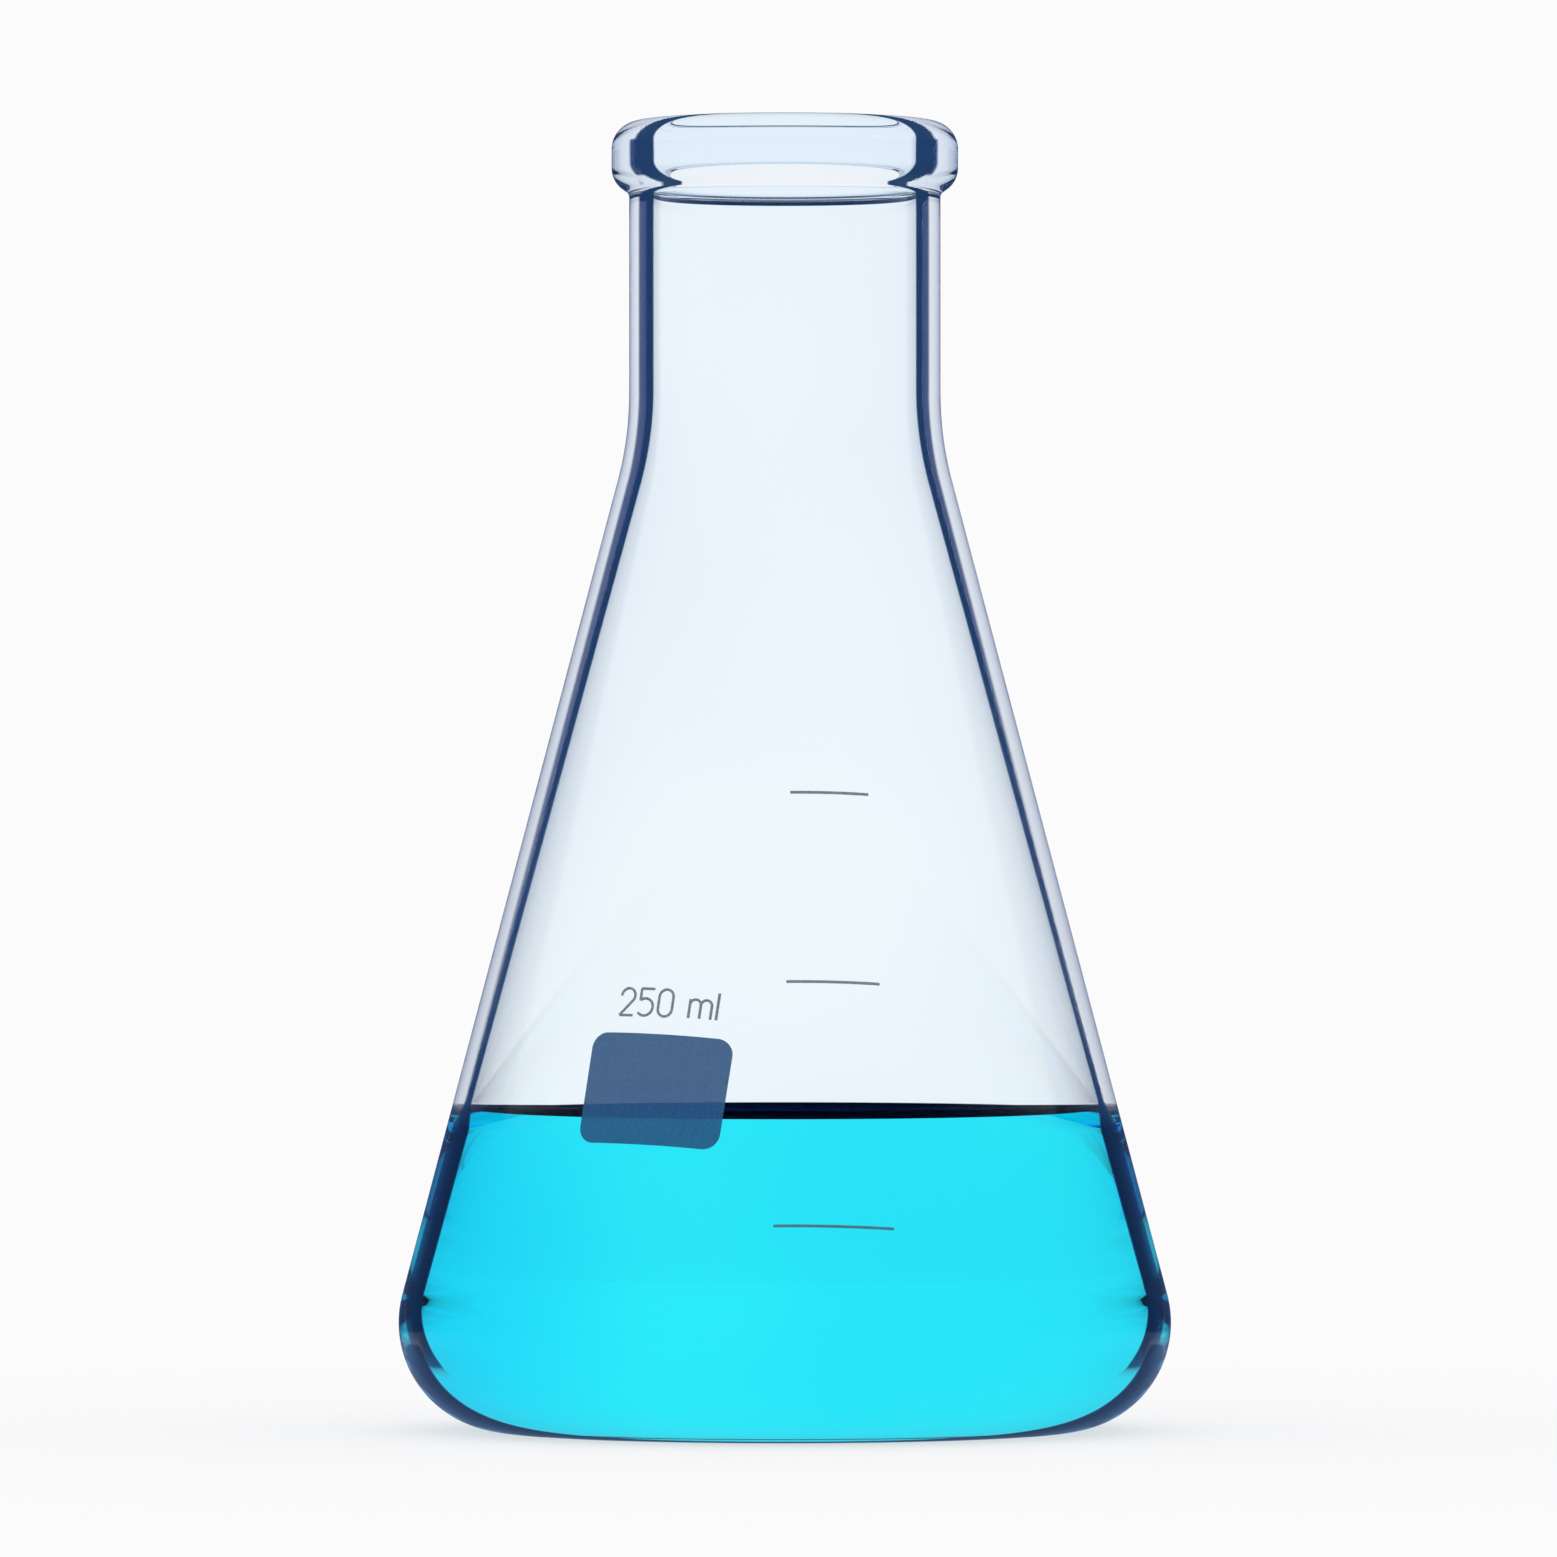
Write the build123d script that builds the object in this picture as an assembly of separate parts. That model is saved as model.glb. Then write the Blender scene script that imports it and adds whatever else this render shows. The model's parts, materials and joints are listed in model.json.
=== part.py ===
from build123d import *
import os
from math import acos, asin, atan2, cos, degrees, hypot, radians, sin, tan

# A 250 ml conical laboratory flask with a beaded rim, partly filled with a dyed liquid.
# Millimetres. The axis is +Z, the base stands on z = 0, and the printing faces -Y.

# Glass, outside
HEIGHT = 145.0
BODY_DIAMETER = 85.5  # across the widest place, at the heel
NECK_DIAMETER = 34.5
NECK_LENGTH = 35.0  # from the top down to where the neck's and the cone's lines cross
HEEL_RADIUS = 12.0  # rounded edge between the base and the cone
SHOULDER_RADIUS = 38.0  # hollow curve between the cone and the neck
RIM_DEPTH = 8.0  # height of the bead round the mouth
RIM_OVERHANG = 1.95  # how far the bead stands out from the neck
RIM_UNDERCUT = 1.4  # how much the bead's underside rises towards its edge
RIM_FOOT_RADIUS = 2.8
RIM_GROOVE_RADIUS = 0.8  # tight hollow where the bead meets the neck
MOUTH_RADIUS = 1.2  # fire-polished edge between the lip and the bore
LIP_LAND = 0.1  # narrow flat left on top of the lip
BASE_RING_WIDTH = 5.75  # flat ring that the flask stands on, next to the heel
BASE_RISE = 0.8  # inside the ring the base is pushed up, clear of the bench

# Glass, thickness
NECK_WALL = 2.4
HEEL_WALL = 1.5  # the cone's wall thins evenly from the neck down to this
BASE_WALL = 2.2

# Liquid
LIQUID_LEVEL = 34.8
LIQUID_GAP = 0.1  # between the liquid and the glass, so that their surfaces stay apart
MENISCUS_RADIUS = 2.5
MENISCUS_RISE = 1.1  # climb of the liquid at the wall

# Fired enamel printing, on the outside of the cone
PRINT_THICKNESS = 0.1
PRINT_REACH = 5.0  # how far a print's outline is carried through the wall on each side
LINE_WIDTH = 0.3
SPOT_WIDTH = 16.6
SPOT_LENGTH = 12.3  # measured down the slope
SPOT_CORNER = 1.8
SPOT_HEIGHT = 38.3  # of its centre above the bench
SPOT_AZIMUTH = -23.2  # degrees to the viewer's right of the front
SPOT_TILT = -2.8
GRADUATION_TILT = -1.7
GRADUATIONS = {  # name: height above the bench, azimuth of its middle, length
    "graduation_lower": (23.7, 7.6, 13.1),
    "graduation_middle": (49.9, 9.1, 10.2),
    "graduation_upper": (70.4, 10.1, 8.6),
}

# The capacity, in single-stroke type
TYPE_HEIGHT = 3.0
TYPE_WIDTH = 1.65
TYPE_SPACE = 0.65  # between two letters
WORD_SPACE = 2.0
TYPE_LINE = 0.28
SMALL_TYPE_HEIGHT = 2.1  # of the letter m
ARCH_RADIUS = 0.62  # of the letter m
BOWL_RADIUS = 0.96  # of the figure 5
BOWL_START = 130  # degrees, where the bowl leaves the stem of the 5
BOWL_SWEEP = -270
TEXT_HEIGHT = 47.6  # of its middle above the bench
TEXT_AZIMUTH = -22.0

body_radius = BODY_DIAMETER / 2
neck_radius = NECK_DIAMETER / 2
bore_radius = neck_radius - NECK_WALL
rim_radius = neck_radius + RIM_OVERHANG
rim_top_radius = NECK_WALL + RIM_OVERHANG - MOUTH_RADIUS - LIP_LAND
rim_foot = HEIGHT - RIM_DEPTH

# The cone runs from the shoulder down to the heel's curve, which it touches. Its lean is from the axis
shoulder = HEIGHT - NECK_LENGTH
heel_centre = body_radius - HEEL_RADIUS
spread = heel_centre - neck_radius
drop = shoulder - HEEL_RADIUS
lean = atan2(spread, drop) + asin(HEEL_RADIUS / hypot(spread, drop))
slope = tan(lean)
heel_top = HEEL_RADIUS * (1 + sin(lean))
heel_top_radius = heel_centre + HEEL_RADIUS * cos(lean)
shoulder_reach = SHOULDER_RADIUS * tan(lean / 2)
base_ring_radius = heel_centre - BASE_RING_WIDTH

inner_slope = (heel_top_radius - HEEL_WALL - bore_radius) / (shoulder - heel_top)
inner_heel_radius = HEEL_RADIUS - HEEL_WALL


def cone_radius(height):
    """Radius of the cone's outside at a height."""
    return heel_top_radius - (height - heel_top) * slope


def cavity_radius(height, inset):
    """Radius of the cone's inside at a height, drawn in from the glass by the inset."""
    at_glass = bore_radius + (shoulder - height) * inner_slope
    return at_glass - inset * hypot(1, inner_slope)


def pushed_up(height):
    """Gentle rise of the base or the floor, from the axis out to the ring it stands on."""
    half_way = base_ring_radius / 2
    top = height + BASE_RISE
    return Bezier((0, top), (half_way, top), (half_way, height), (base_ring_radius, height))


def turned(*outline):
    """The solid that a closed outline in the radius-height plane sweeps round the axis."""
    section = Plane.XZ * make_face(Curve() + list(outline))
    return revolve(section, Axis.Z, 360)


def make_flask():
    """The blown glass, as one wall turned round the axis."""
    base = pushed_up(0)
    floor = pushed_up(BASE_WALL)
    wall = FilletPolyline(
        (base_ring_radius, 0),
        (cone_radius(0), 0),
        (neck_radius, shoulder),
        (neck_radius, rim_foot),
        (rim_radius, rim_foot + RIM_UNDERCUT),
        (rim_radius, HEIGHT),
        (bore_radius, HEIGHT),
        (bore_radius, shoulder),
        (cavity_radius(BASE_WALL, 0), BASE_WALL),
        (base_ring_radius, BASE_WALL),
        radius=[
            HEEL_RADIUS,
            SHOULDER_RADIUS,
            RIM_GROOVE_RADIUS,
            RIM_FOOT_RADIUS,
            rim_top_radius,
            MOUTH_RADIUS,
            SHOULDER_RADIUS + NECK_WALL,
            inner_heel_radius,
        ],
    )
    axis = Line(base @ 0, floor @ 0)
    return turned(base, wall, floor, axis)


def make_liquid():
    """The liquid, which fills the cavity up to its level and climbs a little at the wall."""
    bottom = BASE_WALL + LIQUID_GAP
    contact_height = LIQUID_LEVEL + MENISCUS_RISE
    contact = (cavity_radius(contact_height, LIQUID_GAP), contact_height)
    climb = acos(1 - MENISCUS_RISE / MENISCUS_RADIUS)
    edge = (contact[0] - MENISCUS_RADIUS * sin(climb), LIQUID_LEVEL)
    floor = pushed_up(bottom)
    side = FilletPolyline(
        (base_ring_radius, bottom),
        (cavity_radius(bottom, LIQUID_GAP), bottom),
        contact,
        radius=inner_heel_radius - LIQUID_GAP,
    )
    meniscus = TangentArc(edge, contact, tangent=(1, 0))
    surface = Line((0, LIQUID_LEVEL), edge)
    axis = Line(floor @ 0, surface @ 0)
    return turned(floor, side, meniscus, surface, axis)


def make_enamel_skin():
    """A thin coat over the whole straight cone, from which each print is cut."""
    low = heel_top
    high = shoulder - shoulder_reach
    outward = PRINT_THICKNESS / cos(lean)
    return turned(
        Polyline(
            (cone_radius(low), low),
            (cone_radius(low) + outward, low),
            (cone_radius(high) + outward, high),
            (cone_radius(high), high),
            close=True,
        )
    )


def make_print(outline, height, azimuth, tilt):
    """Enamel of a flat outline, laid on the cone at a height and azimuth and turned by the tilt."""
    turn = radians(azimuth)
    radius = cone_radius(height)
    middle = (radius * sin(turn), -radius * cos(turn), height)
    to_right = (cos(turn), sin(turn), 0)
    outward = (cos(lean) * sin(turn), -cos(lean) * cos(turn), sin(lean))
    place = Plane(origin=middle, x_dir=to_right, z_dir=outward)
    drawn = place * Rot(0, 0, tilt) * outline
    return make_enamel_skin() & extrude(drawn, PRINT_REACH, both=True)


def digit_two():
    """Strokes of a 2: a round top, a tangent down to the corner, and a foot."""
    bow = TYPE_WIDTH / 2
    centre = (bow, TYPE_HEIGHT - bow)
    swing = atan2(centre[0], centre[1]) + asin(bow / hypot(*centre))
    top = CenterArc(centre, bow, 180, -180 - degrees(swing))
    return [top, Line(top @ 1, (0, 0)), Line((0, 0), (TYPE_WIDTH, 0))]


def digit_five():
    """Strokes of a 5: a flag, a stem and a round bowl."""
    centre = (TYPE_WIDTH - BOWL_RADIUS, BOWL_RADIUS)
    curve = CenterArc(centre, BOWL_RADIUS, BOWL_START, BOWL_SWEEP)
    corner = ((curve @ 0).X, TYPE_HEIGHT)
    return [curve, Line(curve @ 0, corner), Line(corner, (TYPE_WIDTH, TYPE_HEIGHT))]


def digit_zero():
    """Strokes of a 0: two half circles and two sides."""
    bow = TYPE_WIDTH / 2
    top = CenterArc((bow, TYPE_HEIGHT - bow), bow, 0, 180)
    foot = CenterArc((bow, bow), bow, 180, 180)
    return [top, Line(top @ 1, foot @ 0), foot, Line(foot @ 1, top @ 0)]


def letter_m():
    """Strokes of an m: a stem and two arches."""
    strokes = [Line((0, 0), (0, SMALL_TYPE_HEIGHT))]
    for left in (0, 2 * ARCH_RADIUS):
        spring = (left + ARCH_RADIUS, SMALL_TYPE_HEIGHT - ARCH_RADIUS)
        arch = CenterArc(spring, ARCH_RADIUS, 180, -180)
        strokes.append(Curve() + [arch, Line(arch @ 1, ((arch @ 1).X, 0))])
    return strokes


def letter_l():
    """Stroke of an l."""
    return [Line((0, 0), (0, TYPE_HEIGHT))]


def make_capacity():
    """The capacity as one line of type, its letters side by side about the middle."""
    word = [digit_two(), digit_five(), digit_zero(), letter_m(), letter_l()]
    widths = [TYPE_WIDTH, TYPE_WIDTH, TYPE_WIDTH, 4 * ARCH_RADIUS, 0]
    gaps = [TYPE_SPACE, TYPE_SPACE, WORD_SPACE, TYPE_SPACE]
    left = -(sum(widths) + sum(gaps)) / 2
    letters = Sketch()
    for strokes, width, gap in zip(word, widths, [*gaps, 0]):
        for stroke in strokes:
            letters += Pos(left, -TYPE_HEIGHT / 2) * trace(stroke, TYPE_LINE)
        left += width + gap
    return make_print(letters, TEXT_HEIGHT, TEXT_AZIMUTH, SPOT_TILT)


def make_marking_spot():
    """The enamel field that is written on with a pencil."""
    outline = RectangleRounded(SPOT_WIDTH, SPOT_LENGTH, SPOT_CORNER)
    return make_print(outline, SPOT_HEIGHT, SPOT_AZIMUTH, SPOT_TILT)


def make_graduation(height, azimuth, length):
    """One short line of the volume scale."""
    return make_print(Rectangle(length, LINE_WIDTH), height, azimuth, GRADUATION_TILT)


def main():
    """Writes one STEP file for each sub-part."""
    parts = {
        "flask": make_flask(),
        "liquid": make_liquid(),
        "marking_spot": make_marking_spot(),
        "capacity_numerals": make_capacity(),
    }
    for name, place in GRADUATIONS.items():
        parts[name] = make_graduation(*place)
    os.makedirs("parts", exist_ok=True)
    for name, part in parts.items():
        export_step(part, f"parts/{name}.step")


main()
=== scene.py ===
"""Looks of a 250 ml conical flask of clear glass, printed with a scale and part filled with blue liquid.

Lengths in the classes are millimetres in the row's frame and become metres where a mesh is made.
"""

import json
import logging
import math
from dataclasses import dataclass
from enum import Enum
from typing import ClassVar

import bmesh
import bpy
from mathutils import Matrix, Vector
from mathutils.geometry import interpolate_bezier

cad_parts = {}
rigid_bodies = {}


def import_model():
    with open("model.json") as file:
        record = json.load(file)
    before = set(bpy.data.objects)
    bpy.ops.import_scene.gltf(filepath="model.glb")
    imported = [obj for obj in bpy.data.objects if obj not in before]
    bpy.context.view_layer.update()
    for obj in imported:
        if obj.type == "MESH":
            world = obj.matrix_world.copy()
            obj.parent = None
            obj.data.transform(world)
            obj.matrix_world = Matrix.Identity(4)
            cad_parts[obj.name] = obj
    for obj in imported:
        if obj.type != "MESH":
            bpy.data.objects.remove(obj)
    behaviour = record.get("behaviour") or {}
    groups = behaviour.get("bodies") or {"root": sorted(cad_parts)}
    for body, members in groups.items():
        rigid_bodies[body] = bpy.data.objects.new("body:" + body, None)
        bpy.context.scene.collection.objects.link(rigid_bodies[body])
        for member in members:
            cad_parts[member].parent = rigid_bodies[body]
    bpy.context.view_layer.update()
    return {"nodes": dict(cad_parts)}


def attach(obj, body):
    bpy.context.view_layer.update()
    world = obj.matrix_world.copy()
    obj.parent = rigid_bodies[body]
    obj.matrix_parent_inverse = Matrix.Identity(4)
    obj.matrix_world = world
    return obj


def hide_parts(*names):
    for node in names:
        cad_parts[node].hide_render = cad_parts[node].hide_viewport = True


MM = 0.001
MERGE = 1e-4  # mm, under which two points are one
NOISE_RANGE = (0.35, 0.65)  # where most of the noise's values lie
BODY = "root"

log = logging.getLogger("flask")


class Slot(Enum):
    """The record's material slots."""

    GLASS = "borosilicate_glass"
    LIQUID = "blue_liquid"
    SPOT = "marking_enamel"
    LINES = "line_enamel"


def linear(colour: str) -> tuple[float, float, float, float]:
    """Turns an sRGB hex colour to the linear values that shaders take.

    Args:
        colour: Six hex digits after a hash sign.

    Returns:
        Linear red, green and blue, and an alpha of 1.
    """
    shares = [int(colour[i:i + 2], 16) / 255 for i in (1, 3, 5)]
    levels = [s / 12.92 if s <= 0.04045 else ((s + 0.055) / 1.055) ** 2.4 for s in shares]
    return (*levels, 1.0)


def smooth_step(value: float, low: float, high: float) -> float:
    """Rises smoothly from 0 at low to 1 at high, or falls where high is the lower one."""
    share = min(max((value - low) / (high - low), 0), 1)
    return share * share * (3 - 2 * share)


def add_node(tree: bpy.types.NodeTree, kind: str, links: dict | None = None, **settings) -> bpy.types.Node:
    """Adds a node with its settings, values and links.

    Args:
        tree: The tree that gets the node.
        kind: Blender's name for the node's type.
        links: For its inputs, by name or number, a value, a socket or a node whose result goes there.
        **settings: Properties of the node itself.

    Returns:
        The new node.
    """
    node = tree.nodes.new(kind)
    for name, value in settings.items():
        setattr(node, name, value)
    for name, value in (links or {}).items():
        named = [s for s in node.inputs if s.enabled and s.name == name]
        socket = named[0] if named else node.inputs[name]
        if isinstance(value, bpy.types.Node):
            value = next(s for s in value.outputs if s.enabled)
        if isinstance(value, bpy.types.NodeSocket):
            tree.links.new(value, socket)
        else:
            socket.default_value = value
    return node


def new_material(name: str) -> tuple[bpy.types.Material, bpy.types.NodeTree]:
    """Makes an empty node material.

    Args:
        name: The finish's name.

    Returns:
        The material and its cleared node tree.
    """
    material = bpy.data.materials.new(name)
    material.use_nodes = True
    material.node_tree.nodes.clear()
    return material, material.node_tree


def mirror_rays(tree: bpy.types.NodeTree) -> bpy.types.Node:
    """Picks the rays that a glossy surface has mirrored, and not those that went through it.

    Args:
        tree: The tree that gets the nodes.

    Returns:
        The node whose result is 1 for such a ray.
    """
    rays = add_node(tree, "ShaderNodeLightPath").outputs
    through = add_node(tree, "ShaderNodeMath", {0: 1.0, 1: rays["Is Transmission Ray"]}, operation="SUBTRACT")
    return add_node(tree, "ShaderNodeMath", {0: rays["Is Glossy Ray"], 1: through}, operation="MULTIPLY")


def mottled(
    tree: bpy.types.NodeTree, size: float, colour: str, other: str, detail: float = 1.0
) -> bpy.types.Node:
    """Mixes two colours by soft noise in the piece's own space.

    Args:
        tree: The tree that gets the nodes.
        size: How large a mottle is, in millimetres.
        colour: The main colour, as sRGB hex.
        other: The colour of the mottles, as sRGB hex.
        detail: How many finer layers of noise are added.

    Returns:
        The node whose result is the mixed colour.
    """
    place = add_node(tree, "ShaderNodeTexCoord").outputs["Object"]
    noise = add_node(
        tree, "ShaderNodeTexNoise", {"Vector": place, "Scale": 1 / (size * MM), "Detail": detail}
    ).outputs["Fac"]
    low, high = NOISE_RANGE
    share = add_node(
        tree,
        "ShaderNodeMapRange",
        {"Value": noise, "From Min": low, "From Max": high},
        interpolation_type="SMOOTHSTEP",
    )
    return add_node(
        tree, "ShaderNodeMix", {"Factor": share, "A": linear(colour), "B": linear(other)}, data_type="RGBA"
    )


@dataclass(frozen=True)
class BorosilicateGlass:
    """Borosilicate glass, blown in a mould and fire polished.

    To the eye it is clear with a breath of blue. Where its wall is seen edge on, a dark line of painted shade
    is drawn on it, and the glass under the liquid fills with the liquid's colour.
    """

    tint: str = "#F9FDFE"
    cloud_tint: str = "#F6FAFD"
    cloud_size: float = 45.0  # mm, the soft unevenness of blown glass
    depth_tint: str = "#30ADF9"  # what a long way through the wall leaves of white
    depth: float = 14.0  # per metre
    index: float = 1.473
    mirror: str = "#303840"  # dims what the surfaces mirror, short of total reflection
    shine: float = 0.2
    edge_painted_shade: str = "#2E507C"  # painted shade of the wall seen edge on, dry
    wet_edge_painted_shade: str = "#02284F"  # and beside the liquid, painted shade too
    edge_shade_gain: float = 5.0  # turns the painted shade dark ahead of the line's own fade
    wet_index: float = 1.105  # at the wetted wall, where the liquid takes away most of the bend
    first_hit: float = 1.5  # ray depth under which the eye sees the wall, and not its mirror image

    def edge(self, tree: bpy.types.NodeTree, within: bpy.types.NodeSocket) -> bpy.types.Node:
        """Draws the wall's dark lines of painted shade where the piece's marks put them.

        The mark "line" is above 0 on the inner wall, which is seen from within the glass, and below 0 on the
        outside of the heel.

        Args:
            tree: The tree that gets the nodes.
            within: 1 where the surface is met from within the glass.

        Returns:
            The node whose result is the strength of the painted shade lines.
        """
        facing = add_node(tree, "ShaderNodeLayerWeight", {"Blend": 0.5}).outputs["Facing"]
        limits = [
            add_node(tree, "ShaderNodeAttribute", attribute_name=name).outputs["Fac"] for name in Flask.SHADE_LINE_LIMITS
        ]
        start = add_node(
            tree,
            "ShaderNodeMapRange",
            {"Value": facing, "From Min": limits[0], "From Max": limits[1]},
            interpolation_type="SMOOTHSTEP",
        )
        end = add_node(
            tree,
            "ShaderNodeMapRange",
            {"Value": facing, "From Min": limits[3], "From Max": limits[2]},
            interpolation_type="SMOOTHSTEP",
        )
        band = add_node(tree, "ShaderNodeMath", {0: start, 1: end}, operation="MULTIPLY")
        hits = add_node(tree, "ShaderNodeLightPath").outputs["Ray Depth"]
        first = add_node(tree, "ShaderNodeMath", {0: hits, 1: self.first_hit}, operation="LESS_THAN")
        strength = add_node(tree, "ShaderNodeAttribute", attribute_name="line").outputs["Fac"]
        sign = add_node(tree, "ShaderNodeMath", {0: within, 1: 2.0, 2: -1.0}, operation="MULTIPLY_ADD")
        side = add_node(
            tree, "ShaderNodeMath", {0: strength, 1: sign}, operation="MULTIPLY", use_clamp=True
        )
        side = add_node(tree, "ShaderNodeMath", {0: side, 1: first}, operation="MULTIPLY")
        edge = add_node(tree, "ShaderNodeMath", {0: band, 1: side}, operation="MULTIPLY")
        # painted shade: the hollow at the bead's foot is drawn dark where it is seen from within the glass
        groove = add_node(tree, "ShaderNodeAttribute", attribute_name="groove").outputs["Fac"]
        groove = add_node(tree, "ShaderNodeMath", {0: groove, 1: within}, operation="MULTIPLY")
        return add_node(tree, "ShaderNodeMath", {0: edge, 1: groove}, operation="MAXIMUM")

    def material(self) -> bpy.types.Material:
        """Makes the glass, with its painted shade lines over it.

        Returns:
            The glass's material.
        """
        material, tree = new_material("borosilicate_glass")
        within = add_node(tree, "ShaderNodeNewGeometry").outputs["Backfacing"]
        edge = self.edge(tree, within)
        wet = add_node(tree, "ShaderNodeAttribute", attribute_name="wet").outputs["Fac"]
        clear = add_node(tree, "ShaderNodeMath", {0: 1.0, 1: edge}, operation="SUBTRACT")
        outer = add_node(tree, "ShaderNodeMath", {0: 1.0, 1: within}, operation="SUBTRACT")
        deep = add_node(tree, "ShaderNodeMath", {0: wet, 1: outer}, operation="MAXIMUM")
        # painted shade: the wall's lines take these dark tints and lose their transmission
        dark = add_node(
            tree,
            "ShaderNodeMix",
            {"Factor": deep, "A": linear(self.edge_painted_shade), "B": linear(self.wet_edge_painted_shade)},
            data_type="RGBA",
        )
        tinted = add_node(
            tree, "ShaderNodeMath", {0: edge, 1: self.edge_shade_gain}, operation="MULTIPLY", use_clamp=True
        )
        clouds = mottled(tree, self.cloud_size, self.tint, self.cloud_tint)
        colour = add_node(tree, "ShaderNodeMix", {"Factor": tinted, "A": clouds, "B": dark}, data_type="RGBA")
        index = add_node(tree, "ShaderNodeMix", {"Factor": wet, "A": self.index, "B": self.wet_index})
        glass = add_node(
            tree,
            "ShaderNodeBsdfPrincipled",
            {
                "Base Color": colour,
                "Roughness": 0.0,
                "IOR": index,
                "Transmission Weight": clear,
                "Specular IOR Level": self.shine,
                "Specular Tint": linear(self.mirror),
            },
        )
        depth = add_node(
            tree, "ShaderNodeVolumeAbsorption", {"Color": linear(self.depth_tint), "Density": self.depth}
        )
        add_node(tree, "ShaderNodeOutputMaterial", {"Surface": glass, "Volume": depth})
        return material


@dataclass(frozen=True)
class DyedWater:
    """Water with a cyan dye, clear and bright.

    Its colour is nearly even from wall to wall, with painted shade that deepens it towards the left and right
    sides, and a near black line of painted shade is drawn on its surface where it is seen edge on.
    """

    tint: str = "#36FCFF"
    cloud_tint: str = "#32F7FE"
    cloud_size: float = 30.0  # mm, of dye not quite mixed
    # painted shade towards the liquid's left and right sides
    side_shade_tint: str = "#17D6FA"
    side_shade_left: tuple[float, float] = (-14.0, -38.0)  # mm, where the painted side shade begins and is deepest
    side_shade_right: tuple[float, float] = (26.0, 64.0)
    index: float = 1.04  # against the glass, whose own bend is left out where it is wet
    depth_tint: str = "#80E4FF"
    depth: float = 3.0
    # painted shade of the surface seen edge on, and of its climb seen from below
    surface_shade_tint: str = "#03163C"
    surface_start: float = 0.957  # Facing, for an eye within three degrees of the surface
    surface_end: float = 0.972
    wall_start: float = 0.04  # Facing, for the surface's climb seen from below
    wall_end: float = 0.15

    def painted_surface_shade(self, tree: bpy.types.NodeTree) -> bpy.types.Node:
        """Draws the painted shade line where the liquid's surface is seen edge on.

        Args:
            tree: The tree that gets the nodes.

        Returns:
            The node whose result is the strength of the painted shade line.
        """
        facing = add_node(tree, "ShaderNodeLayerWeight", {"Blend": 0.5}).outputs["Facing"]
        above = add_node(
            tree,
            "ShaderNodeMapRange",
            {"Value": facing, "From Min": self.surface_start, "From Max": self.surface_end},
            interpolation_type="SMOOTHSTEP",
        )
        below = add_node(
            tree,
            "ShaderNodeMapRange",
            {"Value": facing, "From Min": self.wall_start, "From Max": self.wall_end},
            interpolation_type="SMOOTHSTEP",
        )
        within = add_node(tree, "ShaderNodeNewGeometry").outputs["Backfacing"]
        climb = add_node(tree, "ShaderNodeAttribute", attribute_name="climb").outputs["Fac"]
        below = add_node(tree, "ShaderNodeMath", {0: below, 1: climb}, operation="MULTIPLY")
        edge = add_node(tree, "ShaderNodeMix", {"Factor": within, "A": above, "B": below})
        surface = add_node(tree, "ShaderNodeAttribute", attribute_name="surface").outputs["Fac"]
        return add_node(tree, "ShaderNodeMath", {0: edge, 1: surface}, operation="MULTIPLY")

    def dye(self, tree: bpy.types.NodeTree) -> bpy.types.Node:
        """Mixes the liquid's colour, with painted shade that deepens it towards its left and right sides.

        Args:
            tree: The tree that gets the nodes.

        Returns:
            The node whose result is the colour.
        """
        place = add_node(tree, "ShaderNodeTexCoord").outputs["Object"]
        across = add_node(tree, "ShaderNodeSeparateXYZ", {"Vector": place}).outputs["X"]
        # painted shade: the colour deepens towards the sides along X, which runs across the front view
        sides = [
            add_node(
                tree,
                "ShaderNodeMapRange",
                {"Value": across, "From Min": near * MM, "From Max": far * MM},
                interpolation_type="SMOOTHSTEP",
            )
            for near, far in (self.side_shade_left, self.side_shade_right)
        ]
        side = add_node(tree, "ShaderNodeMath", {0: sides[0], 1: sides[1]}, operation="MAXIMUM")
        clouds = mottled(tree, self.cloud_size, self.tint, self.cloud_tint)
        return add_node(
            tree,
            "ShaderNodeMix",
            {"Factor": side, "A": clouds, "B": linear(self.side_shade_tint)},
            data_type="RGBA",
        )

    def material(self) -> bpy.types.Material:
        """Makes the liquid, with the painted shade line over its surface.

        Returns:
            The liquid's material.
        """
        material, tree = new_material("dyed_water")
        edge = self.painted_surface_shade(tree)
        clear = add_node(
            tree,
            "ShaderNodeBsdfPrincipled",
            {
                "Base Color": self.dye(tree),
                "Roughness": 0.0,
                "IOR": self.index,
                "Transmission Weight": 1.0,
            },
        )
        # painted shade: an opaque near black where the surface is seen edge on
        dark = add_node(tree, "ShaderNodeBsdfDiffuse", {"Color": linear(self.surface_shade_tint)})
        shader = add_node(tree, "ShaderNodeMixShader", {0: edge, 1: clear, 2: dark})
        depth = add_node(
            tree, "ShaderNodeVolumeAbsorption", {"Color": linear(self.depth_tint), "Density": self.depth}
        )
        add_node(tree, "ShaderNodeOutputMaterial", {"Surface": shader, "Volume": depth})
        return material


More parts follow.
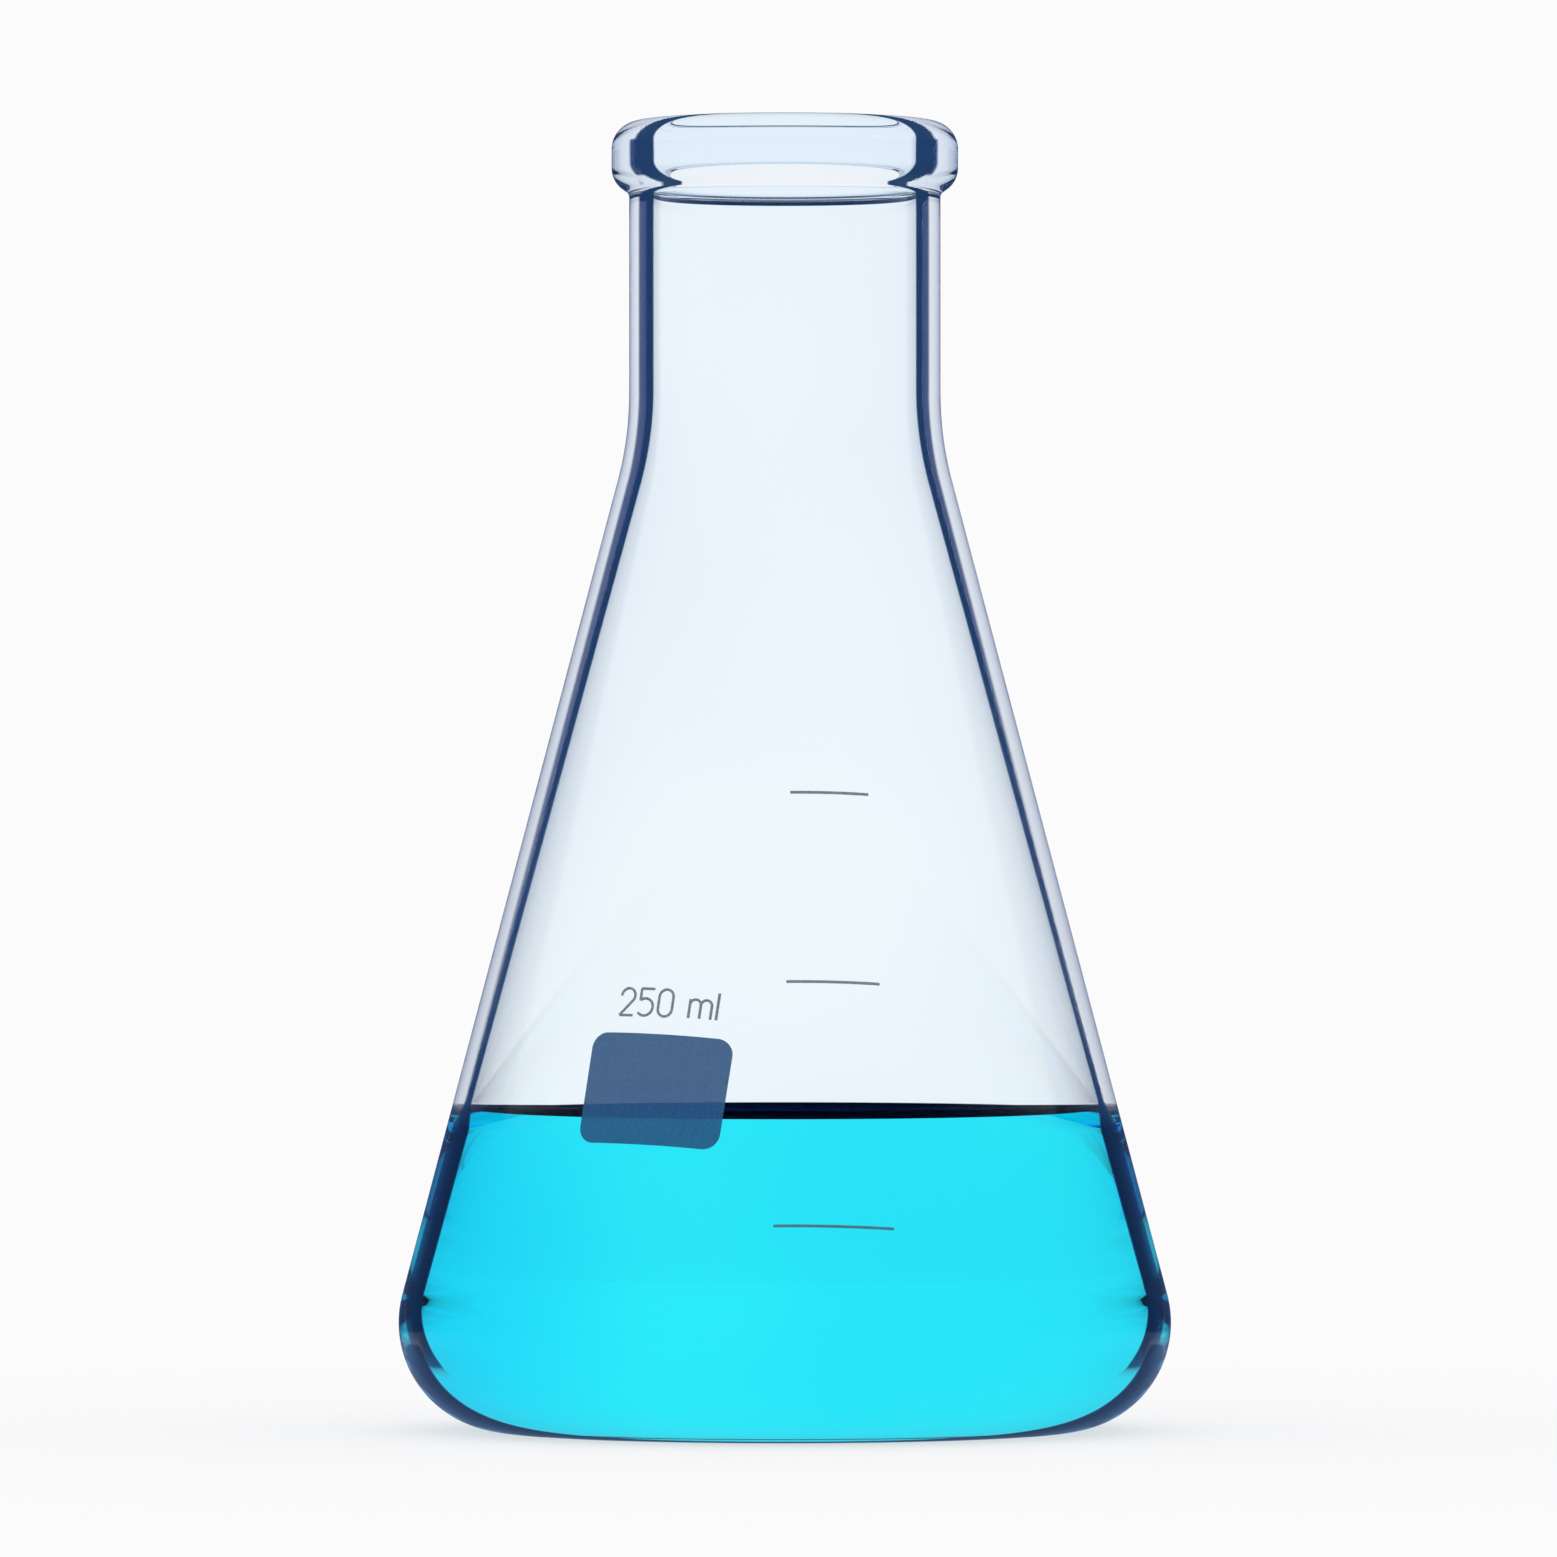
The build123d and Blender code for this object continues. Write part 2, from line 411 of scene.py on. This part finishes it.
@dataclass(frozen=True)
class FiredEnamel:
    """Ceramic enamel, screen printed on glass and fired.

    To the eye it is matt and dense, with a fine grain, and a little of what is behind shows through.
    """

    name: str
    colour: str
    grain_colour: str
    cover: float
    grain_size: float = 0.3  # mm, a few times the real grain, which is too fine to show
    grain_detail: float = 2.0
    relief: float = 0.01  # mm
    relief_strength: float = 0.5
    roughness: float = 0.6
    index: float = 1.5
    shine: float = 0.25

    def material(self) -> bpy.types.Material:
        """Makes the enamel, with its grain in colour and relief.

        Returns:
            The enamel's material.
        """
        material, tree = new_material(self.name)
        place = add_node(tree, "ShaderNodeTexCoord").outputs["Object"]
        grain = add_node(
            tree,
            "ShaderNodeTexNoise",
            {"Vector": place, "Scale": 1 / (self.grain_size * MM), "Detail": self.grain_detail},
        ).outputs["Fac"]
        bump = add_node(
            tree,
            "ShaderNodeBump",
            {"Height": grain, "Distance": self.relief * MM, "Strength": self.relief_strength},
        )
        grained = mottled(tree, self.grain_size, self.colour, self.grain_colour, self.grain_detail)
        shader = add_node(
            tree,
            "ShaderNodeBsdfPrincipled",
            {
                "Base Color": grained,
                "Normal": bump,
                "Roughness": self.roughness,
                "IOR": self.index,
                "Specular IOR Level": self.shine,
                "Alpha": self.cover,
            },
        )
        add_node(tree, "ShaderNodeOutputMaterial", {"Surface": shader})
        return material


class ProfilePen:
    """Draws an outline of edges in the XZ plane, with true arcs at its corners."""

    def __init__(self, start: tuple[float, float]) -> None:
        """Starts the outline.

        Args:
            start: Radius and height of the first point.
        """
        self.mesh = bmesh.new()
        self.tip = self.mesh.verts.new((start[0], 0, start[1]))
        self.at = Vector(start)

    def line(self, to: tuple[float, float], steps: int = 1) -> None:
        """Draws a straight run.

        Args:
            to: Radius and height of its end.
            steps: How many equal edges it has.
        """
        for step in range(1, steps + 1):
            made = bmesh.ops.extrude_vert_indiv(self.mesh, verts=[self.tip])
            self.tip = made["verts"][0]
            radius, height = self.at.lerp(Vector(to), step / steps)
            bmesh.ops.translate(self.mesh, verts=[self.tip], vec=Vector((radius, 0, height)) - self.tip.co)
        self.at = Vector(to)

    def curve(self, handle: tuple[float, float], far_handle: tuple[float, float],
              to: tuple[float, float], steps: int) -> None:
        """Draws a Bezier curve from where the pen is.

        Args:
            handle: The first control point.
            far_handle: The second one.
            to: Radius and height of its end.
            steps: How many edges it has.
        """
        for point in interpolate_bezier(self.at, handle, far_handle, to, steps + 1)[1:]:
            self.line(tuple(point))

    def corner(self, at: tuple[float, float], towards: tuple[float, float], radius: float,
               steps: int, run: int = 1) -> None:
        """Draws a straight run and then a round corner that it and the next run touch.

        Args:
            at: Where the two runs would cross.
            towards: A point on the next run.
            radius: Radius of the corner.
            steps: How many edges the arc has.
            run: How many edges the straight run has.
        """
        corner = Vector(at)
        back = (self.at - corner).normalized()
        ahead = (Vector(towards) - corner).normalized()
        half = back.angle(ahead) / 2
        reach = radius / math.tan(half)
        self.line(tuple(corner + back * reach), run)
        centre = corner + (back + ahead).normalized() * (radius / math.sin(half))
        turn = math.pi - 2 * half
        side = back.cross(ahead)
        made = bmesh.ops.spin(
            self.mesh,
            geom=[self.tip],
            cent=(centre[0], 0, centre[1]),
            axis=(0, 1, 0),
            angle=math.copysign(turn, side),
            steps=steps,
        )
        self.tip = made["geom_last"][0]
        self.at = corner + ahead * reach

    def turned(self, name: str, segments: int) -> bpy.types.Object:
        """Turns the outline round the Z axis into a closed mesh.

        Args:
            name: The piece's name.
            segments: Edges in the full circle.

        Returns:
            The piece, in metres.
        """
        mesh = self.mesh
        bmesh.ops.remove_doubles(mesh, verts=mesh.verts, dist=MERGE)
        bmesh.ops.spin(
            mesh,
            geom=mesh.verts[:] + mesh.edges[:],
            cent=(0, 0, 0),
            axis=(0, 0, 1),
            angle=math.tau,
            steps=segments,
            use_merge=True,
            use_duplicate=False,
        )
        bmesh.ops.remove_doubles(mesh, verts=mesh.verts, dist=MERGE)
        bmesh.ops.recalc_face_normals(mesh, faces=mesh.faces)
        bmesh.ops.scale(mesh, vec=(MM, MM, MM), verts=mesh.verts)
        for face in mesh.faces:
            face.smooth = True
        data = bpy.data.meshes.new(name)
        mesh.to_mesh(data)
        mesh.free()
        piece = bpy.data.objects.new(name, data)
        bpy.context.scene.collection.objects.link(piece)
        return piece


@dataclass
class Flask:
    """The blown glass body, with the same sizes as its solid."""

    SHADE_LINE_LIMITS: ClassVar[tuple[str, ...]] = ("line_fade", "line_start", "line_end", "line_gone")
    FACES_DOWN: ClassVar[float] = -0.5  # height share of a normal, under which a face is the underside's
    FACES_UP: ClassVar[float] = 0.3
    GRAZING: ClassVar[float] = 0.9999  # largest sine that is used
    UPRIGHT: ClassVar[float] = 0.2  # least level share that is used

    height: float = 145.0
    body_radius: float = 42.75
    neck_radius: float = 17.25
    neck_length: float = 35.0
    heel_radius: float = 12.0
    shoulder_radius: float = 38.0
    rim_depth: float = 8.0
    rim_overhang: float = 1.95
    rim_undercut: float = 1.4
    rim_foot_radius: float = 2.8
    rim_groove_radius: float = 0.8
    mouth_radius: float = 1.2
    lip_land: float = 0.1
    base_ring_width: float = 5.75
    base_rise: float = 0.8
    neck_wall: float = 2.4
    heel_wall: float = 1.5
    base_wall: float = 2.2
    wet_top: float = 35.9  # where the liquid's climb ends
    wet_fade: float = 0.6
    # Where the wall's painted shade line fades in, is full, begins to fade and is gone, from the wall's edge
    # outwards
    wet_shade_line: tuple[float, float, float, float] = (-0.9, -0.6, 0.1, 1.3)
    dry_shade_line: tuple[float, float, float, float] = (-0.35, -0.15, 0.2, 0.45)
    bead_shade_line: tuple[float, float, float, float] = (-0.4, -0.15, 1.5, 2.0)
    heel_shade_line: tuple[float, float, float, float] = (-2.3, -1.9, -1.2, -0.1)
    shade_line_foot: tuple[float, float] = (7.0, 11.0)  # heights between which the painted shade line moves to the outer face
    shade_line_pale: float = 0.27  # how much the painted shade line pales on the cone
    pale_top: tuple[float, float] = (95.0, 68.0)  # heights where the paling begins and is full
    pale_foot: tuple[float, float] = (37.0, 50.0)
    lip_reach: float = 0.4  # how far below the top the painted shade line ends
    groove_shade_reach: float = 0.36
    segments: int = 256
    rise_steps: int = 16
    heel_steps: int = 40
    shoulder_steps: int = 24
    groove_steps: int = 10
    rim_foot_steps: int = 14
    rim_top_steps: int = 24
    mouth_steps: int = 14
    cone_rows: int = 30
    neck_rows: int = 8
    bore_rows: int = 10

    def __post_init__(self) -> None:
        """Works out the cone, which touches the heel and meets the neck at the shoulder."""
        self.shoulder = self.height - self.neck_length
        self.heel_centre = self.body_radius - self.heel_radius
        spread = self.heel_centre - self.neck_radius
        drop = self.shoulder - self.heel_radius
        self.lean = math.atan2(spread, drop) + math.asin(self.heel_radius / math.hypot(spread, drop))
        self.heel_top = self.heel_radius * (1 + math.sin(self.lean))
        self.heel_top_radius = self.heel_centre + self.heel_radius * math.cos(self.lean)
        self.bore_radius = self.neck_radius - self.neck_wall
        self.ring_radius = self.heel_centre - self.base_ring_width
        run = self.shoulder - self.heel_top
        self.inner_slope = (self.heel_top_radius - self.heel_wall - self.bore_radius) / run

    def cone_radius(self, height: float) -> float:
        """Radius of the cone's outside at a height."""
        return self.heel_top_radius - (height - self.heel_top) * math.tan(self.lean)

    def cavity_radius(self, height: float, inset: float = 0.0) -> float:
        """Radius of the cone's inside at a height, drawn in by the inset."""
        at_glass = self.bore_radius + (self.shoulder - height) * self.inner_slope
        return at_glass - inset * math.hypot(1, self.inner_slope)

    def build(self) -> bpy.types.Object:
        """Draws the wall's outline and turns it.

        Returns:
            The flask's glass.
        """
        rim_radius = self.neck_radius + self.rim_overhang
        rim_foot = self.height - self.rim_depth
        rim_top_radius = self.neck_wall + self.rim_overhang - self.mouth_radius - self.lip_land
        foot = (self.cone_radius(0), 0)
        shoulder = (self.neck_radius, self.shoulder)
        groove = (self.neck_radius, rim_foot)
        bead = (rim_radius, rim_foot + self.rim_undercut)
        bead_top = (rim_radius, self.height)
        mouth = (self.bore_radius, self.height)
        inner_shoulder = (self.bore_radius, self.shoulder)
        floor = (self.cavity_radius(self.base_wall), self.base_wall)
        ring = (self.ring_radius, self.base_wall)

        half_way = self.ring_radius / 2
        top = self.base_wall + self.base_rise

        pen = ProfilePen((0, self.base_rise))
        pen.curve((half_way, self.base_rise), (half_way, 0), (self.ring_radius, 0), self.rise_steps)
        pen.corner(foot, shoulder, self.heel_radius, self.heel_steps)
        pen.corner(shoulder, groove, self.shoulder_radius, self.shoulder_steps, self.cone_rows)
        pen.corner(groove, bead, self.rim_groove_radius, self.groove_steps, self.neck_rows)
        pen.corner(bead, bead_top, self.rim_foot_radius, self.rim_foot_steps)
        pen.corner(bead_top, mouth, rim_top_radius, self.rim_top_steps)
        pen.corner(mouth, inner_shoulder, self.mouth_radius, self.mouth_steps)
        pen.corner(
            inner_shoulder, floor, self.shoulder_radius + self.neck_wall, self.shoulder_steps, self.bore_rows
        )
        pen.corner(floor, ring, self.heel_radius - self.heel_wall, self.heel_steps, self.cone_rows)
        pen.line(ring)
        pen.curve((half_way, self.base_wall), (half_way, top), (0, top), self.rise_steps)
        return pen.turned("glass_body", self.segments)

    def shade_line_reaches(self, height: float) -> tuple[float, float, float, float]:
        """How far the painted shade line of the inner wall reaches at a height."""
        if height < self.wet_top:
            return self.wet_shade_line
        if height > self.height - self.rim_depth - self.rim_groove_radius:
            return self.bead_shade_line
        return self.dry_shade_line

    def facings(self, place: Vector, level: float, reaches: tuple[float, ...], index: float) -> list[float]:
        """Turns distances from a round surface's edge to Layer Weight's Facing.

        Args:
            place: A point of the surface, in millimetres.
            level: How level the surface's normal is, from 0, upright, to 1.
            reaches: Distances from the edge as the eye sees them, outwards.
            index: The refractive index between the eye and the surface.

        Returns:
            A value of Facing for each distance.
        """
        curve = max(place.xy.length, 1.0) / max(level, self.UPRIGHT)
        sines = [min((curve + reach) / (index * curve), self.GRAZING) for reach in reaches]
        return [1 - math.sqrt(1 - sine ** 2) for sine in sines]

    def shade_line_strength(self, height: float) -> float:
        """How strong the painted shade line of the wall is at a height of the inner surface."""
        pale = smooth_step(height, *self.pale_top) * smooth_step(height, *self.pale_foot)
        top = smooth_step(height, self.height - self.lip_reach, self.height - self.mouth_radius)
        return smooth_step(height, *self.shade_line_foot) * (1 - self.shade_line_pale * pale) * top

    def inner_points(self, data: bpy.types.Mesh) -> set[int]:
        """Finds the points of the cavity's wall and floor.

        Args:
            data: The glass's mesh.

        Returns:
            Their numbers.
        """
        floor_top = (self.base_wall + self.heel_radius) * MM
        inside = set()
        for face in data.polygons:
            outward = face.normal.x * face.center.x + face.normal.y * face.center.y
            on_wall = outward < 0 and face.normal.z > self.FACES_DOWN
            on_floor = face.normal.z > self.FACES_UP and face.center.z < floor_top
            if on_wall or on_floor:
                inside.update(face.vertices)
        return inside

    def mark_shade_lines(self, data: bpy.types.Mesh, index: float) -> None:
        """Marks the points of the inner wall and the heel with the painted shade line's strength and limits.

        Args:
            data: The glass's mesh.
            index: The glass's refractive index.
        """
        names = ("line", "wet", *self.SHADE_LINE_LIMITS)
        for name in names:
            data.attributes.new(name, "FLOAT", "POINT")
        marks = {name: data.attributes[name].data for name in names}
        inside = self.inner_points(data)
        for vertex in data.vertices:
            place = vertex.co / MM
            level = vertex.normal.xy.length
            if vertex.index in inside:
                marks["line"][vertex.index].value = self.shade_line_strength(place.z)
                wet = smooth_step(place.z, self.wet_top, self.wet_top - self.wet_fade)
                marks["wet"][vertex.index].value = wet
                limits = self.facings(place, level, self.shade_line_reaches(place.z), index)
            # painted shade line on the outside of the heel
            elif place.z <= self.heel_top and place.xy.length >= self.heel_centre:
                marks["line"][vertex.index].value = -smooth_step(place.z, *reversed(self.shade_line_foot))
                limits = self.facings(place, level, self.heel_shade_line, 1.0)
            else:
                continue
            for name, limit in zip(self.SHADE_LINE_LIMITS, limits):
                marks[name][vertex.index].value = limit

    def mark_groove_shade(self, data: bpy.types.Mesh) -> None:
        """Marks the faces of the hollow where the bead meets the neck, which is painted dark through the
        glass as shade.
        """
        marks = data.attributes.new("groove", "FLOAT", "FACE").data
        groove = Vector((self.neck_radius, self.height - self.rim_depth))
        for face in data.polygons:
            place = face.center / MM
            from_groove = (Vector((place.xy.length, place.z)) - groove).length
            marks[face.index].value = 1.0 if from_groove < self.groove_shade_reach else 0.0

    def dress(self, piece: bpy.types.Object, finish: BorosilicateGlass) -> None:
        """Gives the glass its finish and its marks.

        Args:
            piece: The flask's glass.
            finish: The glass's finish.
        """
        piece.data.materials.append(finish.material())
        self.mark_shade_lines(piece.data, finish.index)
        self.mark_groove_shade(piece.data)
        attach(piece, BODY)
        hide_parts("flask")


@dataclass
class Liquid:
    """The liquid, which fits the flask's cavity."""

    FACES_UP: ClassVar[float] = 0.05  # height share of a normal, over which a face is the surface's
    FLAT: ClassVar[float] = 0.999

    flask: Flask
    level: float = 34.8
    gap: float = 0.1
    meniscus_radius: float = 2.5
    meniscus_rise: float = 1.1
    segments: int = 256
    surface_rings: int = 8
    meniscus_steps: int = 16
    side_rows: int = 10

    def build(self) -> bpy.types.Object:
        """Draws the liquid's outline and turns it.

        Returns:
            The liquid.
        """
        flask = self.flask
        bottom = flask.base_wall + self.gap
        top = self.level + self.meniscus_rise
        contact = (flask.cavity_radius(top, self.gap), top)
        climb = math.acos(1 - self.meniscus_rise / self.meniscus_radius)
        edge = contact[0] - self.meniscus_radius * math.sin(climb)
        floor = (flask.cavity_radius(bottom, self.gap), bottom)
        ring = (flask.ring_radius, bottom)
        pen = ProfilePen((0, self.level))
        pen.line((edge, self.level), self.surface_rings)
        made = bmesh.ops.spin(
            pen.mesh,
            geom=[pen.tip],
            cent=(edge, 0, self.level + self.meniscus_radius),
            axis=(0, 1, 0),
            angle=-climb,
            steps=self.meniscus_steps,
        )
        pen.tip = made["geom_last"][0]
        pen.at = Vector(contact)
        heel_radius = flask.heel_radius - flask.heel_wall - self.gap
        pen.corner(floor, ring, heel_radius, flask.heel_steps, self.side_rows)
        pen.line(ring)
        half_way = flask.ring_radius / 2
        middle = bottom + flask.base_rise
        pen.curve((half_way, bottom), (half_way, middle), (0, middle), flask.rise_steps)
        return pen.turned("liquid_body", self.segments)

    def dress(self, piece: bpy.types.Object, finish: DyedWater) -> None:
        """Gives the liquid its finish, and marks its surface and the climb at its edge.

        Args:
            piece: The liquid.
            finish: The liquid's finish.
        """
        piece.data.materials.append(finish.material())
        surface = piece.data.attributes.new("surface", "FLOAT", "FACE")
        climb = piece.data.attributes.new("climb", "FLOAT", "FACE")
        level = (self.level - self.gap) * MM
        for face in piece.data.polygons:
            on_top = face.normal.z > self.FACES_UP and face.center.z > level
            surface.data[face.index].value = 1.0 if on_top else 0.0
            climb.data[face.index].value = 1.0 if on_top and face.normal.z < self.FLAT else 0.0
        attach(piece, BODY)
        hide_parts("liquid")


@dataclass
class Printing:
    """The enamel printing, which keeps the shape of its solids."""

    nodes: dict[str, bpy.types.Object]
    spot: FiredEnamel = FiredEnamel("slate_enamel", "#1B5488", "#225D92", 0.77)
    lines: FiredEnamel = FiredEnamel("grey_enamel", "#4A5A68", "#536370", 0.62)

    def dress(self) -> None:
        """Gives each print its enamel."""
        spot = self.spot.material()
        lines = self.lines.material()
        for name, node in self.nodes.items():
            if name in ("flask", "liquid"):
                continue
            node.data.materials.clear()
            node.data.materials.append(spot if name == "marking_spot" else lines)
            log.info("dressed %s", name)


@dataclass
class Studio:
    """A pale floor, a white surround and the camera at the photograph's angle."""

    eye_height: float = 60.0
    distance: float = 1330.0
    aim_height: float = 72.2
    aim_side: float = -0.7
    frame_width: float = 172.5
    floor_radius: float = 220.0
    floor_fade: float = 60.0
    sensor: float = 36.0
    floor_segments: int = 128
    backdrop: str = "#FCFBFC"
    mirrored_floor: str = "#6C80A4"  # the floor, as the glass mirrors it
    mirrored_room: str = "#34517F"  # and the room
    level: float = 1.0
    floor_glow: float = 0.65
    flag: str = "#14326E"  # dark cards round the flask, which only the glass shows
    flag_count: float = 4.0
    flag_turn: float = 2.0
    flag_edge: tuple[float, float] = (-0.1, -0.5)
    flag_foot: tuple[float, float] = (-0.14, -0.07)
    flag_top: tuple[float, float] = (0.34, 0.44)
    flag_crossings: float = 2.5  # surfaces through which a flag is still seen
    matt_hits: float = 0.5  # matt bounces from which the room is plain
    bounces: int = 24
    gloss_bounces: int = 12

    def camera(self) -> None:
        """Sets the camera up in front, a little above the liquid's level."""
        data = bpy.data.cameras.new("camera")
        data.sensor_width = self.sensor
        data.lens = self.sensor * self.distance / self.frame_width
        camera = bpy.data.objects.new("camera", data)
        eye = Vector((self.aim_side, -self.distance, self.eye_height)) * MM
        aim = Vector((self.aim_side, 0, self.aim_height)) * MM
        turn = (aim - eye).to_track_quat("-Z", "Y").to_matrix().to_4x4()
        camera.matrix_world = Matrix.Translation(eye) @ turn
        bpy.context.scene.collection.objects.link(camera)
        bpy.context.scene.camera = camera

    def flags(self, tree: bpy.types.NodeTree) -> bpy.types.Node:
        """Sets the dark flags up round the flask.

        Args:
            tree: The world's tree.

        Returns:
            The node whose result is 1 on a flag.
        """
        direction = add_node(tree, "ShaderNodeTexCoord").outputs["Generated"]
        parts = add_node(tree, "ShaderNodeSeparateXYZ", {"Vector": direction})
        x, y, z = parts.outputs
        azimuth = add_node(tree, "ShaderNodeMath", {0: y, 1: x}, operation="ARCTAN2")
        azimuth = add_node(
            tree, "ShaderNodeMath", {0: azimuth, 1: math.radians(self.flag_turn)}, operation="ADD"
        )
        azimuth = add_node(tree, "ShaderNodeMath", {0: azimuth, 1: self.flag_count}, operation="MULTIPLY")
        wave = add_node(tree, "ShaderNodeMath", {0: azimuth}, operation="COSINE")
        low, high = self.flag_edge
        flags = add_node(tree, "ShaderNodeMapRange", {"Value": wave, "From Min": low, "From Max": high},
                         interpolation_type="SMOOTHSTEP")
        low, high = self.flag_foot
        foot = add_node(tree, "ShaderNodeMapRange", {"Value": z, "From Min": low, "From Max": high},
                        interpolation_type="SMOOTHSTEP")
        low, high = self.flag_top
        top = add_node(tree, "ShaderNodeMapRange", {"Value": z, "From Min": high, "From Max": low},
                       interpolation_type="SMOOTHSTEP")
        flags = add_node(tree, "ShaderNodeMath", {0: flags, 1: foot}, operation="MULTIPLY")
        return add_node(tree, "ShaderNodeMath", {0: flags, 1: top}, operation="MULTIPLY")

    def world(self) -> None:
        """White to the camera and plain to matt surfaces, with dark flags that only glass and gloss see."""
        world = bpy.data.worlds.new("studio")
        world.use_nodes = True
        tree = world.node_tree
        tree.nodes.clear()
        seen = add_node(
            tree,
            "ShaderNodeMix",
            {"Factor": self.flags(tree), "A": linear(self.backdrop), "B": linear(self.flag)},
            data_type="RGBA",
        )
        rays = add_node(tree, "ShaderNodeLightPath").outputs
        sharp = add_node(
            tree,
            "ShaderNodeMath",
            {0: rays["Is Glossy Ray"], 1: rays["Is Transmission Ray"]},
            operation="MAXIMUM",
        )
        white = add_node(tree, "ShaderNodeBackground", {"Color": linear(self.backdrop), "Strength": 1.0})
        plain = add_node(tree, "ShaderNodeBackground", {"Color": (1, 1, 1, 1), "Strength": self.level})
        staged = add_node(tree, "ShaderNodeBackground", {"Color": seen, "Strength": 1.0})
        matt = add_node(
            tree, "ShaderNodeMath", {0: rays["Diffuse Depth"], 1: self.matt_hits}, operation="LESS_THAN"
        )
        sharp = add_node(tree, "ShaderNodeMath", {0: sharp, 1: matt}, operation="MULTIPLY")
        near = add_node(
            tree,
            "ShaderNodeMath",
            {0: rays["Transmission Depth"], 1: self.flag_crossings},
            operation="LESS_THAN",
        )
        sharp = add_node(tree, "ShaderNodeMath", {0: sharp, 1: near}, operation="MULTIPLY")
        light = add_node(tree, "ShaderNodeMixShader", {0: sharp, 1: plain, 2: staged})
        mirrored = add_node(tree, "ShaderNodeMath", {0: mirror_rays(tree), 1: matt}, operation="MULTIPLY")
        room = add_node(
            tree, "ShaderNodeBackground", {"Color": linear(self.mirrored_room), "Strength": 1.0}
        )
        light = add_node(tree, "ShaderNodeMixShader", {0: mirrored, 1: light, 2: room})
        every = add_node(tree, "ShaderNodeMixShader", {0: rays["Is Camera Ray"], 1: light, 2: white})
        add_node(tree, "ShaderNodeOutputWorld", {"Surface": every})
        bpy.context.scene.world = world

    def floor(self) -> None:
        """A pale round table top that fades into the white surround."""
        mesh = bmesh.new()
        bmesh.ops.create_circle(
            mesh, cap_ends=True, segments=self.floor_segments, radius=self.floor_radius * MM
        )
        data = bpy.data.meshes.new("floor")
        mesh.to_mesh(data)
        mesh.free()
        floor = bpy.data.objects.new("floor", data)
        bpy.context.scene.collection.objects.link(floor)
        material, tree = new_material("pale_table")
        place = add_node(tree, "ShaderNodeTexCoord").outputs["Object"]
        distance = add_node(tree, "ShaderNodeVectorMath", {0: place}, operation="LENGTH")
        fade = add_node(
            tree,
            "ShaderNodeMapRange",
            {
                "Value": distance,
                "From Min": (self.floor_radius - self.floor_fade) * MM,
                "From Max": self.floor_radius * MM,
            },
            interpolation_type="SMOOTHSTEP",
        )
        rays = add_node(tree, "ShaderNodeLightPath").outputs
        colour = add_node(
            tree,
            "ShaderNodeMix",
            {"Factor": mirror_rays(tree), "A": linear(self.backdrop), "B": linear(self.mirrored_floor)},
            data_type="RGBA",
        )
        matt = add_node(tree, "ShaderNodeBsdfDiffuse", {"Color": colour})
        glow = add_node(tree, "ShaderNodeEmission", {"Color": colour, "Strength": 1.0})
        bright = add_node(
            tree, "ShaderNodeMath", {0: rays["Is Transmission Ray"], 1: self.floor_glow}, operation="MAXIMUM"
        )
        top = add_node(tree, "ShaderNodeMixShader", {0: bright, 1: matt, 2: glow})
        clear = add_node(tree, "ShaderNodeBsdfTransparent")
        mixed = add_node(tree, "ShaderNodeMixShader", {0: fade, 1: top, 2: clear})
        add_node(tree, "ShaderNodeOutputMaterial", {"Surface": mixed})
        data.materials.append(material)

    def build(self) -> None:
        """Makes the whole studio."""
        self.camera()
        self.world()
        self.floor()
        scene = bpy.context.scene
        scene.view_settings.view_transform = "Standard"
        scene.cycles.max_bounces = self.bounces
        scene.cycles.transmission_bounces = self.bounces
        scene.cycles.glossy_bounces = self.gloss_bounces


def main() -> None:
    """Builds the studio, the glass, the liquid and the printing, in that order."""
    logging.basicConfig(level=logging.INFO, format="%(name)s: %(message)s")
    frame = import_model()
    Studio().build()
    log.info("studio built")
    flask = Flask()
    glass = flask.build()
    flask.dress(glass, BorosilicateGlass())
    log.info("glass body: %d faces", len(glass.data.polygons))
    liquid = Liquid(flask)
    fill = liquid.build()
    liquid.dress(fill, DyedWater())
    log.info("liquid: %d faces", len(fill.data.polygons))
    Printing(frame["nodes"]).dress()


if __name__ == "__main__":
    main()
